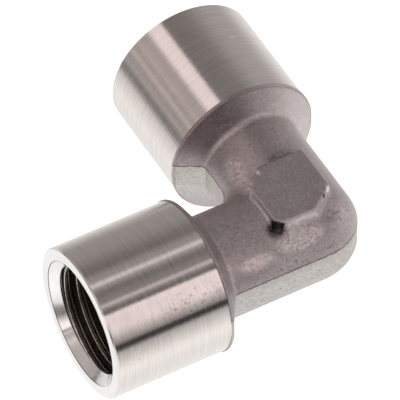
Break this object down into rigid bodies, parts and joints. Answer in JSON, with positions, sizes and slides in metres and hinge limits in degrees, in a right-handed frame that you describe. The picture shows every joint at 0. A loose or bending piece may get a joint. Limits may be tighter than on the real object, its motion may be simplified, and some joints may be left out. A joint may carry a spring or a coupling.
{
  "type": "threaded pipe elbow fitting",
  "caption": "Right-angle pipe elbow in nickel-plated brass, with an internal pipe thread in a turned collar at each end, a forged bend and a flat wrench pad on both faces.",
  "frame": {"origin": "centre of port A's mouth, in the plane of its flat end face", "axes": "-X points out of port A, +Y points out of port B, and +Z is normal to the plane that holds both port axes, so the fitting lies on its collars with the X-Y plane level"},
  "size_m": [0.0333, 0.0333, 0.0162],
  "materials": {
    "nickel_plated_brass": "nickel plated: bright turned collars and mouths, matt forged bend"
  },
  "bodies": {
    "root": {"elbow_body": "nickel_plated_brass"}
  },
  "joints": []
}
